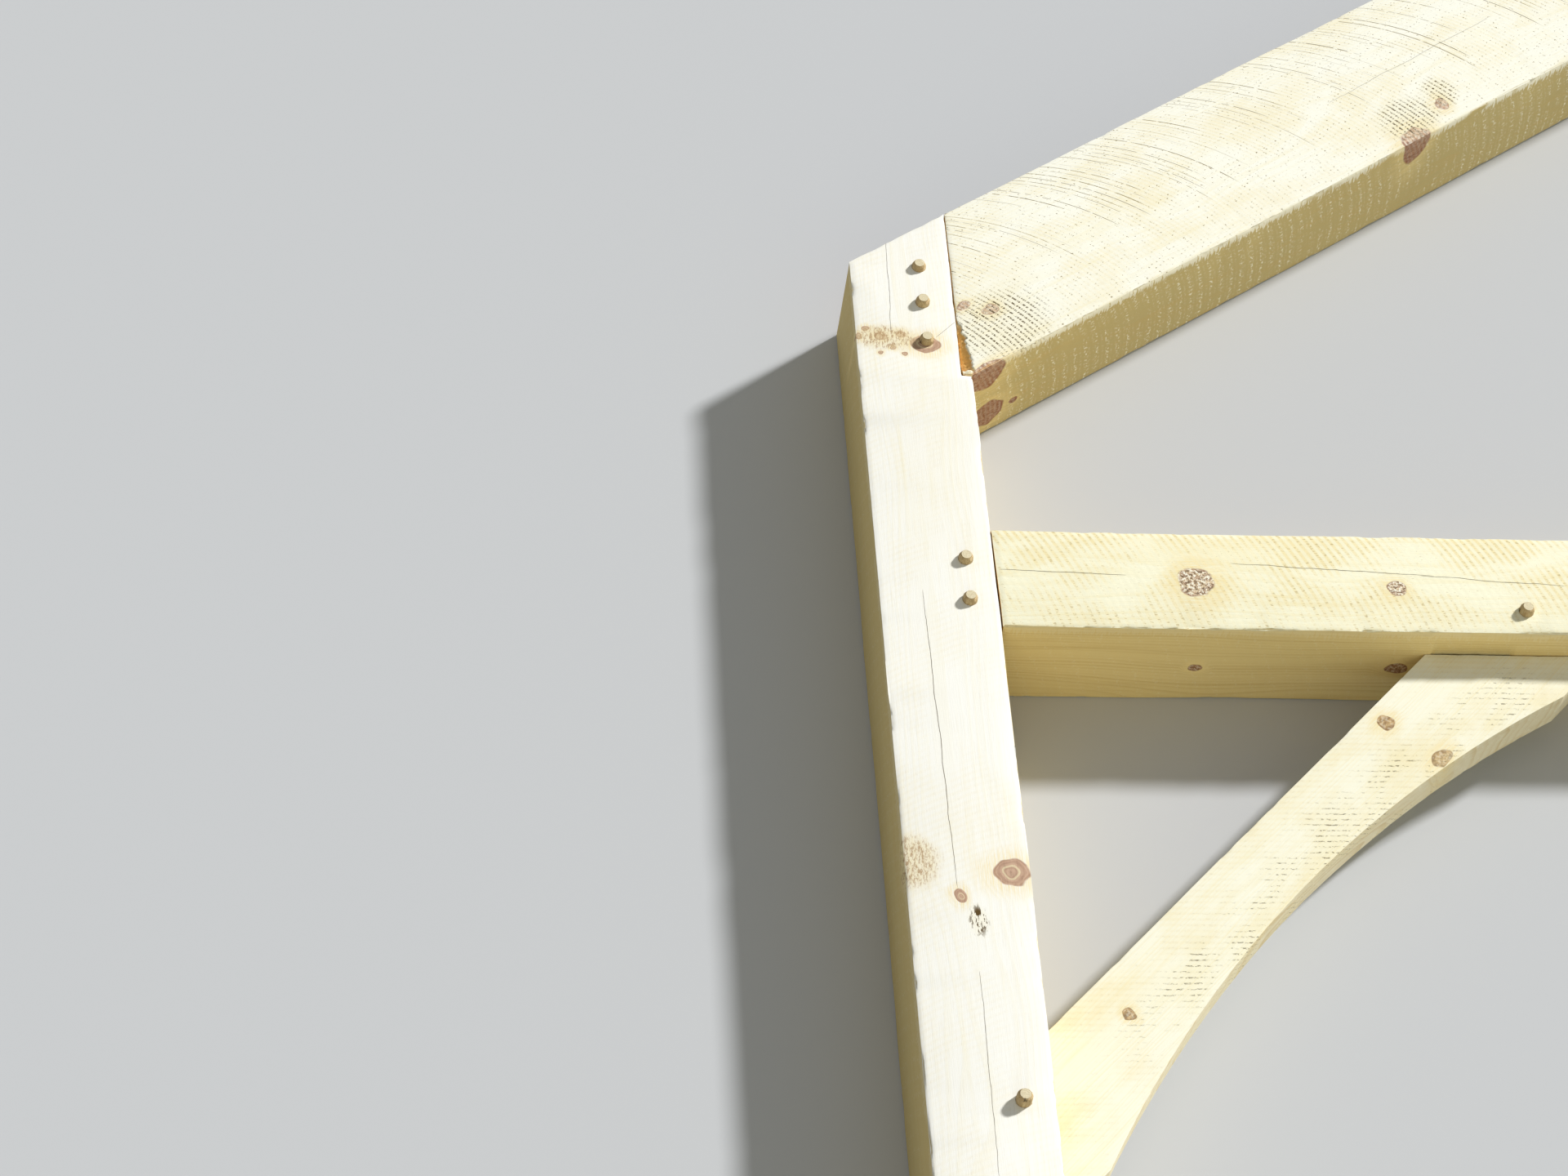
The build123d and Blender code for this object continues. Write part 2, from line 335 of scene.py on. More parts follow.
class Pine(Finish):
    """The finish of one timber, laid out in inches from its corner, along and across its grain."""

    def __init__(self, name, timber, look, pith, knots, checks=(), torn=(), soiled=(), scar=()):
        super().__init__(bpy.data.materials.new(name))
        self.lay_out(timber)
        self.place_knots(knots)
        self.grow_rings(pith)
        self.run_blade(look)
        self.colour = self.bare_wood(look)
        self.height = self.bare_relief(look)
        self.draw_knots(look)
        self.tear_grain(look, torn)
        if soiled:
            self.add_soil(soiled)
        if scar:
            self.bare_scar(scar)
        if checks:
            self.open_checks(checks)
        bump = self.node("Bump", inputs={"Strength": 1.0, "Distance": RELIEF, "Height": self.height})
        self.give(self.shader.inputs["Base Color"], self.colour)
        self.give(self.shader.inputs["Roughness"], 0.78 + self.fibre * 0.15 - self.knot * 0.15)
        self.give(self.shader.inputs["Normal"], bump.outputs[0])
        self.shader.inputs["Specular IOR Level"].default_value = 0.25

    def lay_out(self, timber):
        corner = Matrix.Rotation(-timber.turn, 4, "Z") @ timber.corner
        places = {
            "Vector": self.node("TexCoord").outputs["Object"],
            "Location": -corner / INCH,
            "Rotation": (0, 0, -timber.turn),
            "Scale": (1 / INCH, 1 / INCH, 1 / INCH),
        }
        self.point = self.node("Mapping", {"vector_type": "POINT"}, places).outputs[0]
        self.u, self.v, self.w = self.parts(self.point)
        normal = self.node("NewGeometry").outputs["Normal"]
        self.flat = self.fade(self.facing(normal, (0, 0, 1)), 0.45, 0.85)
        self.end = self.fade(self.facing(normal, timber.along), 0.7, 0.82)
        self.front = self.flat * self.fade(self.w, 1.5, 2.2)
        self.fibre = self.noise(self.point, (0.5, 16, 16), 4.0, 0.65)
        self.speckle = self.noise(self.point, 4.5, 3.0, 0.7)

    def wander(self, place, scale, detail, width):
        """The point, moved softly about by a noise read at a place, within a width for each direction."""
        inputs = {"Vector": place, "Scale": scale, "Detail": detail}
        colour = self.node("TexNoise", inputs=inputs).outputs["Color"]
        offset = self.vector("MULTIPLY", self.vector("SUBTRACT", colour, (0.5, 0.5, 0.5)), width)
        return self.vector("ADD", self.point, offset)

    def place_knots(self, knots):
        """How far the nearest knot's middle is, counted in radii of that knot."""
        self.nudged = self.wander(self.point, 0.8, 1.0, (0.6, 0.6, 0.6))
        self.nearest = FAR
        for centre, radii in knots:
            self.nearest = self.math("MINIMUM", self.nearest, self.away(centre, radii))
        self.knot = self.fade(self.nearest, 1.07, 0.94)
        self.halo = self.fade(self.nearest, 2.6, 1.0)

    def away(self, centre, radii):
        offset = self.vector("SUBTRACT", self.nudged, tuple(centre))
        return self.length(self.vector("DIVIDE", offset, tuple(radii)))

    def patches(self, places):
        """1 in the middle of each place and 0 past its reach."""
        region = None
        for centre, radii in places:
            patch = self.fade(self.away(centre, radii), 1.0, 0.45)
            region = patch if region is None else self.highest(region, patch)
        return region

    def grow_rings(self, pith):
        """Growth rings around the pith, pushed aside by the knots."""
        drift = self.vector("MULTIPLY", self.point, (0.03, 0.12, 0.12))
        swayed = self.wander(drift, 1.0, 2.0, (0, 2.4, 2.4))
        centred = self.vector("SUBTRACT", swayed, (0, *pith))
        ring = self.length(self.vector("MULTIPLY", centred, (0, 1, 1))) + self.halo * self.halo * 0.5
        uneven = self.noise(self.point, (0.05, 0.6, 0.6)) * 1.4
        share = self.math("FRACT", ring / RING_WIDTH + uneven)
        late = self.fade(share, 0.3, 0.88) * self.fade(share, 1.0, 0.93)
        self.late = late * self.fade(self.line_noise(ring, 0.9, 3.0, 0.7), 0.35, 0.7)

    def run_blade(self, look):
        """Blade marks: soft bands and short nicks in even rows, and thin lines at uneven distances."""
        t = self.v * self.flat + self.w * (1 - self.flat)
        distance, nick = look.path(self, self.u, t)
        tooth = self.math("FRACT", distance / look.pace)
        off = abs(tooth - 0.5)
        sawn_face = 1 - self.end
        self.patch = self.noise(self.point, (0.16, 0.3, 0.3), 3.0, 0.6)
        self.nick = nick
        self.row = self.fade(off, 0.36, 0.1)
        self.narrow_row = self.fade(off, 0.26, 0.1)
        wide_tooth = self.math("FRACT", distance / (look.pace * 2.4))
        self.sweep = self.fade(abs(wide_tooth - 0.5), 0.24, 0.06)
        self.wave = self.math("SINE", distance * (math.tau / look.pace)) * look.bands * self.flat
        shown = sawn_face * (self.flat * 0.8 + 0.2)
        upper = self.fade(self.v, -3, 6)
        self.band = self.row * self.fade(self.patch, 0.34, 0.6) * upper * shown * look.bands
        dashed = self.fade(nick, 0.54, 0.64) * self.fade(self.patch, 0.36, 0.6)
        self.dash = self.narrow_row * dashed * shown * look.dashes
        pits = self.noise(self.point, (3.5, 7, 7), 2.0, 0.7)
        self.pit = self.fade(pits, 0.6, 0.66) * self.narrow_row * self.front * look.specks
        torn_row = self.fade(off, 0.17, 0.06) if look.sparse else self.narrow_row
        self.rowed = 1 - (1 - torn_row) * look.rows
        self.line = self.front * self.thin_lines(distance) if look.lines else None

    def thin_lines(self, distance):
        """Scratches along the blade's path, each with its own strength and its own start on the face."""
        place = distance / 0.62 + self.line_noise(distance, 0.4) * 1.3
        number = self.math("FLOOR", place)
        chance = self.chance(number)
        low_end = self.chance(number + 40.5) * 8 + 2.5
        off = abs(self.math("FRACT", place) - 0.5)
        line = self.fade(off, 0.075, 0.03) * self.fade(chance, 0.1, 0.85)
        line = line * self.fade(self.v - low_end, 0, 1.5)
        return line * self.fade(self.noise(self.point, 1.6, 3.0), 0.36, 0.46)

    def chance(self, number):
        """A chance value from 0 to 1 for each number."""
        node = self.node("TexWhiteNoise", {"noise_dimensions": "1D"}, {"W": number})
        return Amount(self, node.outputs["Value"])

    def pale_face(self, look, streak):
        """The wood of the front and the back."""
        cloud = self.noise(self.point, (0.05, 0.2, 0.2), 2.0)
        warmth = self.fade(streak, 0.5, 0.85) * 1.3 + self.fade(cloud, 0.5, 0.85)
        pale = self.mix(self.late * look.grain, look.face, STRAW)
        pale = self.mix(warmth * look.grain, pale, STRAW)
        return self.mix(self.fade(self.patch, 0.4, 0.75) * look.mottle, pale, BAND)

    def side_wood_shade_and_highlights(self, look, streak):
        """The sides' colour, darker than the front's partly as unbleached wood and partly as painted
        shade,
        with painted highlights: pale spots in the blade's rows and a pale fringe along the front arris.
        """
        tan = self.mix(self.late * 0.5, look.side, OLIVE)
        tan = self.mix(self.fade(streak, 0.45, 0.85) * 0.5, tan, OLIVE)
        highlight_dots = self.fade(self.speckle, 0.54, 0.59) * (self.sweep + self.row * 0.3)
        highlight_comb = self.fade(self.w + self.noise(self.point, (5.0, 1.5, 0.8)) * 2.4, 8.5, 8.75)
        highlight_fleck = highlight_dots * self.fade(self.patch, 0.34, 0.48) + highlight_comb * self.fade(self.patch, 0.36, 0.46)
        return self.mix(self.math("MINIMUM", highlight_fleck, 1.0) * look.highlight_flecks, tan, PALE_FLECK_AND_HIGHLIGHT)

    def bare_wood(self, look):
        streak = self.noise(self.point, (0.07, 1.5, 1.5), 3.0, 0.6)
        pale = self.pale_face(look, streak)
        # The sides take a darker colour, partly unbleached wood and partly painted shade, with painted
        # highlights
        colour = self.mix(1 - self.flat, pale, self.side_wood_shade_and_highlights(look, streak))
        colour = self.mix(self.end, colour, self.mix(self.late, END_GRAIN, AMBER))
        colour = self.mix(self.fade(self.fibre, 0.52, 0.8) * 0.2, colour, DASH)
        colour = self.mix(self.band * 0.8, colour, BAND)
        colour = self.mix(self.dash * 0.75, colour, DASH)
        if self.line:
            colour = self.mix(self.line * 0.9, colour, BLADE)
        return self.mix(self.pit * 0.8, colour, BLADE)

    def bare_relief(self, look):
        lumps = self.noise(self.point, (1.5, 3.5, 3.5), 5.0, 0.7) * look.lumps
        height = lumps + self.late * 0.1 + self.fibre * 0.45 + self.wave * 0.08
        height = height - self.dash * 0.35 - self.pit * 0.4
        if self.line:
            height = height - self.line * 0.6
        return height

    def tear_grain(self, look, torn):
        """Torn grain, in rows that follow the blade unless the look has none."""
        if callable(torn):
            region = torn(self)
        elif torn:
            region = self.patches(torn)
        else:
            return
        splinters = self.nick if look.rows else self.noise(self.point, (1.3, 4, 4), 3.0, 0.6)
        level = 0.55 + look.sparse
        tear = self.fade(splinters + region * 0.06, level, level + 0.05)
        tear = tear * self.rowed * region * (1 - self.end)
        self.colour = self.mix(region * 0.25, self.colour, STRAW)
        self.colour = self.mix(tear * look.tear, self.colour, SHADOW)
        self.height = self.height - tear * (0.25 + look.rows * 0.55)

    def knot_wood(self, look, turns):
        """The wood inside a knot: its turns, where the look has rings, and streaks where it has few."""
        streak = self.noise(self.point, (1.2, 4, 4), 3.0, 0.6)
        streaky = 0.8 - look.rings
        red = self.fade(turns, 0.3, 0.9) * look.rings + self.fade(streak, 0.42, 0.58) * streaky
        inside = self.mix(red, look.heart, look.bark)
        inside = self.mix(self.fade(streak, 0.58, 0.68) * streaky, inside, KNOT_DARK)
        inside = self.mix(self.fade(abs(self.nearest - 0.45), 0.1, 0.03) * look.rings, inside, STRAW)
        inside = self.mix(self.row * look.streaks, inside, look.face)
        if look.grit:
            inside = self.mix(self.fade(self.speckle, 0.5, 0.42) * look.grit, inside, PALE_FLECK_AND_HIGHLIGHT)
            inside = self.mix(self.fade(self.speckle, 0.53, 0.58) * look.grit, inside, KNOT_DARK)
        # Knots on the sides are darker, partly as painted shade like the sides' wood
        return self.mix((1 - self.flat) * 0.6, inside, look.bark)

    def draw_knots(self, look):
        """Knots with a glow around them and a thin, broken rim of bark."""
        turns = self.math("SINE", self.nearest * 17 + self.speckle * 3) * 0.5 + 0.5
        glow = self.halo * (1 - self.knot) * self.fade(self.fibre, 0.35, 0.6)
        rim = self.fade(abs(self.nearest - 0.98), 0.12, 0.02)
        rim = rim * self.fade(self.noise(self.point, 1.3), 0.4, 0.56)
        self.colour = self.mix(glow * 0.7, self.colour, KNOT_GLOW)
        self.colour = self.mix(self.knot * 0.92, self.colour, self.knot_wood(look, turns))
        self.colour = self.mix(rim * 0.6, self.colour, look.bark)
        self.height = self.height + self.knot * turns * 0.15 - rim * 0.3

    def add_soil(self, places):
        """Soiled patches, with darker strokes in them."""
        soil = self.patches(places)
        grime = self.noise(self.join(self.u * 2.4 + self.v * 1.6, self.v * 6, self.w), 1.0, 4.0, 0.75)
        stroke = soil * self.fade(grime + soil * 0.1, 0.56, 0.68)
        self.colour = self.mix(soil * 0.5, self.colour, SOIL)
        self.colour = self.mix(stroke * 0.75, self.colour, SOIL_SPECK)

    def bare_scar(self, places):
        """Where a splinter came away, the wood behind the face is amber."""
        behind = self.fade(self.w, THICK - 0.06, THICK - 0.12)
        bared = self.patches(places) * behind * self.flat
        self.colour = self.mix(bared, self.colour, self.mix(self.fibre, SPLIT, SPLIT_PALE))

    def open_checks(self, checks):
        """Thin checks that follow the grain from one place of the front to the next."""
        opened = None
        for number, (start, finish, width) in enumerate(checks):
            crack = self.crack(number, start, finish, width)
            opened = crack if opened is None else self.highest(opened, crack)
        opened = opened * self.front
        self.colour = self.mix(opened * 0.75, self.colour, SHADOW)
        self.height = self.height - opened * 1.5

    def crack(self, number, start, finish, width):
        """One check, which wavers on its way, varies in width and runs out at both ends."""
        run = (self.u - start[0]) / (finish[0] - start[0])
        middle = run * (finish[1] - start[1]) + start[1]
        middle = middle + (self.line_noise(self.u + number * 7, 0.3, 3.0, 0.55) - 0.5) * 0.22
        taper = self.math("SQRT", self.math("MAXIMUM", run * (1 - run) * 4, 0.0))
        half_width = taper * width * (0.3 + self.line_noise(self.u + number * 3, 1.3) * 1.4)
        split = self.fade(abs(self.v - middle) - half_width, HAIRLINE, 0.0) * self.fade(taper, 0.02, 0.3)
        return split * min(1.0, width / HAIRLINE)


def peg_wood():
    """Turned hardwood: a pale end with its rings, and a browner side with fine lines along the peg."""
    f = Finish(bpy.data.materials.new("peg_oak"))
    place = f.node("TexCoord").outputs["Object"]
    normal = f.node("NewGeometry").outputs["Normal"]
    end = f.fade(f.facing(normal, (0, 0, 1)), 0.75, 0.9)
    fine = f.noise(place, (900, 900, 60), 3.0, 0.6)
    broad = f.noise(place, (160, 160, 20), 2.0)
    side = f.mix(f.fade(fine, 0.35, 0.7), paint(210, 188, 144), paint(182, 154, 110))
    side = f.mix(f.fade(broad, 0.4, 0.7) * 0.5, side, paint(164, 134, 90))
    rings = f.math("SINE", f.noise(place, (50, 50, 4), 1.0) * 90) * 0.5 + 0.5
    face = f.mix(rings * 0.4, paint(236, 224, 190), paint(218, 200, 160))
    face = f.mix(f.fade(fine, 0.5, 0.75) * 0.35, face, paint(196, 174, 130))
    height = fine + rings * end * 0.3
    bump = f.node("Bump", inputs={"Strength": 1.0, "Distance": RELIEF, "Height": height})
    f.give(f.shader.inputs["Base Color"], f.mix(end, side, face))
    f.give(f.shader.inputs["Roughness"], 0.62 + fine * 0.2)
    f.give(f.shader.inputs["Normal"], bump.outputs[0])
    f.shader.inputs["Specular IOR Level"].default_value = 0.3
    return f.owner


def only(piece):
    """Makes a piece the one that the operators work on."""
    bpy.ops.object.select_all(action="DESELECT")
    piece.select_set(True)
    bpy.context.view_layer.objects.active = piece


def cut(place, normal):
    """Cuts the edges of the piece that is being edited along a plane, and leaves both halves."""
    bpy.ops.mesh.select_all(action="SELECT")
    bpy.ops.mesh.bisect(plane_co=place, plane_no=normal)


# How much wear a timber gets, by the inches from its nearest arris
ARRIS_WEIGHTS = ((0.0, 1.0), (0.08, 0.66), (0.22, 0.28), (0.42, 0.0))
ARRIS_ROWS = [distance for distance, _ in ARRIS_WEIGHTS[1:]]
LOW_ARRIS = 0.6  # inches from the lower front arris that have its own wane
FINE_PACE = 0.3  # inches between the cuts across a timber
COARSE_PACE = 1.2
WANE_DEPTH = 0.007  # metres, as the next two
SPLINTER_DEPTH = 0.006
WELD = 0.00001
GRAIN_STRETCH = 2.2


def arris_weight(distance):
    """The wear at a distance, between the two rows that it lies between."""
    for (near, more), (far, less) in zip(ARRIS_WEIGHTS, ARRIS_WEIGHTS[1:]):
        if distance <= far:
            return more + (less - more) * (distance - near) / (far - near)
    return 0.0


def clouds(name, size, depth, low, high):
    """A noise for worn arrises, 0 up to the level low and 1 from the level high on."""
    cloud = bpy.data.textures.new(name, "CLOUDS")
    cloud.noise_scale = size
    cloud.noise_depth = depth
    cloud.use_color_ramp = True
    stops = cloud.color_ramp.elements
    stops[0].position = low
    stops[0].color = (0, 0, 0, 1)
    stops[1].position = high
    stops[1].color = (1, 1, 1, 1)
    return cloud


wane = clouds("wane", 0.13, 2, 0.15, 0.7)
splinter = clouds("splinter", 0.02, 3, 0.55, 0.78)


def wear(piece, texture, strength, timber):
    """Sinks the arrises by a noise that is drawn out along the grain, and never raises them."""
    grain = bpy.data.objects.new("grain", None)
    bpy.context.collection.objects.link(grain)
    grain.rotation_euler = (0, 0, timber.turn)
    grain.scale = (GRAIN_STRETCH, 1, 1)
    bpy.context.view_layer.update()
    displace = piece.modifiers.new("wear", "DISPLACE")
    displace.texture = texture
    displace.texture_coords = "OBJECT"
    displace.texture_coords_object = grain
    displace.vertex_group = "arris"
    displace.mid_level = 0
    displace.strength = -strength
    only(piece)
    bpy.ops.object.modifier_apply(modifier=displace.name)
    bpy.data.objects.remove(grain)


def merged_copy(node, name):
    """A CAD node's mesh as a piece of its own, with its loose triangles merged to flat faces."""
    piece = bpy.data.objects.new(name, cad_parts[node].data.copy())
    bpy.context.collection.objects.link(piece)
    piece.data.materials.clear()
    only(piece)
    bpy.ops.object.mode_set(mode="EDIT")
    bpy.ops.mesh.select_mode(type="VERT")
    bpy.ops.mesh.select_all(action="SELECT")
    bpy.ops.mesh.remove_doubles(threshold=WELD)
    bpy.ops.mesh.dissolve_limited(angle_limit=math.radians(0.5))
    bpy.ops.object.mode_set(mode="OBJECT")
    return piece


def steps(low, high, pace):
    """Places from low to high, about a pace apart, leaving out the two ends."""
    count = max(1, round((high - low) / pace))
    return [low + (high - low) * i / count for i in range(1, count)]


peg_nodes = sorted(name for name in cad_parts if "_peg_" in name)
peg_boxes = {node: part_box(node) for node in peg_nodes}
peg_middles = [((low + high) / 2).to_2d() for low, high in peg_boxes.values()]


def near_peg(place):
    """Whether a place is at the rim of a peg's bore."""
    return any((place.to_2d() - middle).length < PEG_RADIUS * 1.15 for middle in peg_middles)


def add_rows(piece, level):
    """Insets the flat face at a level a few times, so that rows of faces follow its whole outline."""
    bpy.ops.object.mode_set(mode="EDIT")
    bpy.ops.mesh.select_mode(type="FACE")
    bpy.ops.mesh.select_all(action="DESELECT")
    bpy.ops.object.mode_set(mode="OBJECT")
    for face in piece.data.polygons:
        face.select = abs(face.normal.z) > 0.99 and abs(face.center.z - level) < 0.0001
    bpy.ops.object.mode_set(mode="EDIT")
    done = 0
    for row in ARRIS_ROWS:
        bpy.ops.mesh.inset(thickness=(row - done) * INCH, use_boundary=True)
        done = row
    bpy.ops.object.mode_set(mode="OBJECT")


def cut_places(timber, start, finish):
    """Where a timber is cut across, in inches along it, and most closely in its fine stretch."""
    fine_low = max(timber.fine[0], start)
    fine_high = min(timber.fine[1], finish)
    if fine_high <= fine_low:
        return steps(start, finish, COARSE_PACE)
    places = steps(start, fine_low, COARSE_PACE) + [fine_low]
    places += steps(fine_low, fine_high, FINE_PACE) + [fine_high]
    places += steps(fine_high, finish, COARSE_PACE)
    return [place for place in places if start < place < finish]


def weigh_arrises(piece, timber):
    """Marks how much each place of a timber wears. The rims of the pegs' bores stay sharp."""
    bpy.ops.object.mode_set(mode="EDIT")
    bpy.ops.mesh.select_mode(type="EDGE")
    bpy.ops.mesh.select_all(action="DESELECT")
    bpy.ops.mesh.edges_select_sharp(sharpness=math.radians(35))
    bpy.ops.object.mode_set(mode="OBJECT")
    sharp = [v for v in piece.data.vertices if v.select and not near_peg(v.co)]
    tree = KDTree(len(sharp))
    for number, v in enumerate(sharp):
        tree.insert(v.co, number)
    tree.balance()
    group = piece.vertex_groups.new(name="arris")
    for v in piece.data.vertices:
        weight = arris_weight(tree.find(v.co)[2] / INCH)
        if weight > 0 and not near_peg(v.co):
            place = timber.local(v.co)
            low_arris = place.y < LOW_ARRIS and place.z > THICK - LOW_ARRIS
            group.add([v.index], weight * (timber.low_wane if low_arris else timber.wane), "REPLACE")


def sawn(timber):
    """A timber with cuts close enough to wear its arrises unevenly."""
    piece = merged_copy(timber.node, timber.node + "_timber")
    points = [timber.local(v.co) for v in piece.data.vertices]
    start = min(p.x for p in points)
    finish = max(p.x for p in points)
    back = min(p.z for p in points)
    front = max(p.z for p in points)
    for level in (back, front):
        add_rows(piece, level * INCH)
    bpy.ops.object.mode_set(mode="EDIT")
    bpy.ops.mesh.select_mode(type="VERT")
    for row in ARRIS_ROWS:
        for level in (back + row, front - row):
            cut((0, 0, level * INCH), (0, 0, 1))
    for place in cut_places(timber, start, finish):
        cut(timber.corner + timber.along * place * INCH, timber.along)
    bpy.ops.object.mode_set(mode="OBJECT")
    weigh_arrises(piece, timber)
    return piece


# The left rafter's torn corner, in inches from the post's outer face and the tie beam's top
SHOULDER = 7.25
TEAR_WIDTH = 0.9
TEAR_LENGTH = 4.6
TEAR_LOW = 13.95
TEAR_TOP = 18.5
TEAR_TIP = 18.6
TEAR_LIMIT = (8.7, 18.8)
FIRST_LEVEL = 13.6
ACROSS_PACE = 0.09
ACROSS_CUTS = 15
UP_PACE = 0.1
UP_CUTS = 49
TEAR_DEPTH = 0.62 * INCH
FACE_SKIN = 0.003  # metres behind the front within which a face belongs to it
POINT_SKIN = 0.004  # the same for a point


def torn_depth(place):
    """How deep the rafter's corner is torn out at a place of its front: 0 outside, 1 at the deepest."""
    across = (place.x - OUTER) / INCH
    up = (place.y - TIE_TOP) / INCH
    jag = noise.noise(Vector((up * 2.2, 3.1, 0))) * 0.16 + noise.noise(Vector((up * 7, 1.7, 0))) * 0.08
    edge = SHOULDER + TEAR_WIDTH * max(0.0, (TEAR_TIP - up) / TEAR_LENGTH) ** 0.65 + jag
    if across >= edge or up < TEAR_LOW + jag or up > TEAR_TOP:
        return 0.0
    rough = noise.noise(Vector((across * 5, up * 1.3, 0))) * 0.12
    return max(0.0, min(1.0, 0.2 + (edge - across) * 0.8 + rough))


def cut_corner(piece, limit, place, normal):
    """Cuts only the front faces of the rafter's lower corner."""
    bpy.ops.mesh.select_all(action="DESELECT")
    bpy.ops.object.mode_set(mode="OBJECT")
    for face in piece.data.polygons:
        middle = face.center
        inside = middle.x < limit.x and middle.y < limit.y and middle.z > FRONT - FACE_SKIN
        face.select = inside and face.normal.z > 0.8
    bpy.ops.object.mode_set(mode="EDIT")
    bpy.ops.mesh.bisect(plane_co=place, plane_no=normal)


def tear_corner(piece):
    """Breaks the rafter's lower front corner out beside the post, down to a ragged slope."""
    limit = spot(*TEAR_LIMIT)
    bpy.ops.object.mode_set(mode="EDIT")
    cut(limit, (1, 0, 0))
    cut(limit, (0, 1, 0))
    bpy.ops.mesh.select_mode(type="FACE")
    for number in range(1, ACROSS_CUTS + 1):
        cut_corner(piece, limit, spot(SHOULDER + number * ACROSS_PACE, 0), (1, 0, 0))
    for number in range(1, UP_CUTS + 1):
        cut_corner(piece, limit, spot(0, FIRST_LEVEL + number * UP_PACE), (0, 1, 0))
    bpy.ops.object.mode_set(mode="OBJECT")
    sink_corner(piece)


def sink_corner(piece):
    """Sinks the torn places of the front by their depth."""
    group = piece.vertex_groups.new(name="torn")
    for v in piece.data.vertices:
        if v.co.z > FRONT - POINT_SKIN:
            depth = torn_depth(v.co)
            if depth:
                group.add([v.index], depth, "REPLACE")
    sink = piece.modifiers.new("sink", "DISPLACE")
    sink.direction = "Z"
    sink.vertex_group = "torn"
    sink.mid_level = 0
    sink.strength = -TEAR_DEPTH
    only(piece)
    bpy.ops.object.modifier_apply(modifier=sink.name)


def taper_end(piece, centre):
    """Draws the top of a peg's shaft out to a narrower, slightly crushed end."""
    bpy.ops.object.mode_set(mode="EDIT")
    bpy.ops.mesh.select_mode(type="FACE")
    bpy.ops.object.mode_set(mode="OBJECT")
    for face in piece.data.polygons:
        face.select = face.normal.z > 0.9
    bpy.ops.object.mode_set(mode="EDIT")
    taper = PEG_TIP_RADIUS / PEG_RADIUS
    half_way = (1 + taper) / 2
    for rise, share in ((0.5, half_way), (0.45, taper / half_way * 1.02), (0.05, 0.95)):
        bpy.ops.mesh.extrude_region_move(TRANSFORM_OT_translate={"value": (0, 0, PEG_TAPER * rise)})
        bpy.ops.transform.resize(value=(share, share, 1), center_override=centre)
    for _ in range(2):
        bpy.ops.mesh.inset(thickness=PEG_TIP_RADIUS * 0.3)
    bpy.ops.object.mode_set(mode="OBJECT")


def peg(node, proud, turn):
    """A turned peg. What stands proud of the front is in inches, and the turn is about its own axis."""
    low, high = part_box(node)
    middle = (low + high) / 2
    shaft = FRONT + proud * INCH - PEG_TAPER
    bpy.ops.mesh.primitive_cylinder_add(
        vertices=22, radius=PEG_RADIUS, depth=shaft - low.z, end_fill_type="NGON",
        location=(middle.x, middle.y, (shaft + low.z) / 2), rotation=(0, 0, turn),
    )
    piece = bpy.context.object
    piece.name = node + "_turned"
    only(piece)
    bpy.ops.object.transform_apply(location=True, rotation=True, scale=True)
    taper_end(piece, (middle.x, middle.y, shaft))
    bpy.ops.object.shade_smooth_by_angle(angle=math.radians(30))
    return piece


def shine(name, energy, width, source, colour=(1, 1, 1)):
    """A sun lamp that shines from the direction of its source, so many degrees wide."""
    sun = bpy.data.lights.new(name, "SUN")
    sun.energy = energy
    sun.color = colour
    sun.angle = math.radians(width)
    lamp = bpy.data.objects.new(name, sun)
    lamp.rotation_euler = Vector(source).to_track_quat("Z", "Y").to_euler()
    bpy.context.collection.objects.link(lamp)


def knot(timber, across, up, long, wide, deep=0, reach=3.0):
    """A knot at a spot, with half its length and width on the timber's front, in inches."""
    return timber.local(spot(across, up, deep)), (long, wide, reach)


def low_knot(timber, across, deep, long, wide):
    """A knot on the underside of a timber in the left corner, so many inches in from the front."""
    place = spot(across, 0, deep)
    place.y = timber.corner.y + (place.x - timber.corner.x) * math.tan(timber.turn)
    return timber.local(place), (long, 0.45, wide)


def stray_knots(timber, count, seed, past=0):
    """Knots on all four sides of a timber, at places drawn by the seed, past so many inches of it."""
    draw = random.Random(seed)
    length = (timber.high - timber.low).to_2d().length / INCH
    depth = timber.depth / INCH
    knots = []
    for _ in range(count):
        along = draw.uniform(past, length)
        size = draw.uniform(0.35, 0.95)
        side = draw.choice(("front", "back", "low", "high"))
        if side in ("front", "back"):
            out = THICK if side == "front" else 0
            knots.append((Vector((along, draw.uniform(1, depth - 1), out)), (size * 1.15, size, 3.0)))
        else:
            edge = 0 if side == "low" else depth
            knots.append((Vector((along, edge, draw.uniform(1, THICK - 1))), (size * 1.15, 3.0, size)))
    return knots


def check(timber, first, second, width):
    """A check on a timber's front, between two spots."""
    return timber.on_front(*first), timber.on_front(*second), width


def patch(timber, across, up, long, wide, reach=2.0):
    """A patch on a timber's front, with half its length and width in inches."""
    return timber.on_front(across, up), (long, wide, reach)


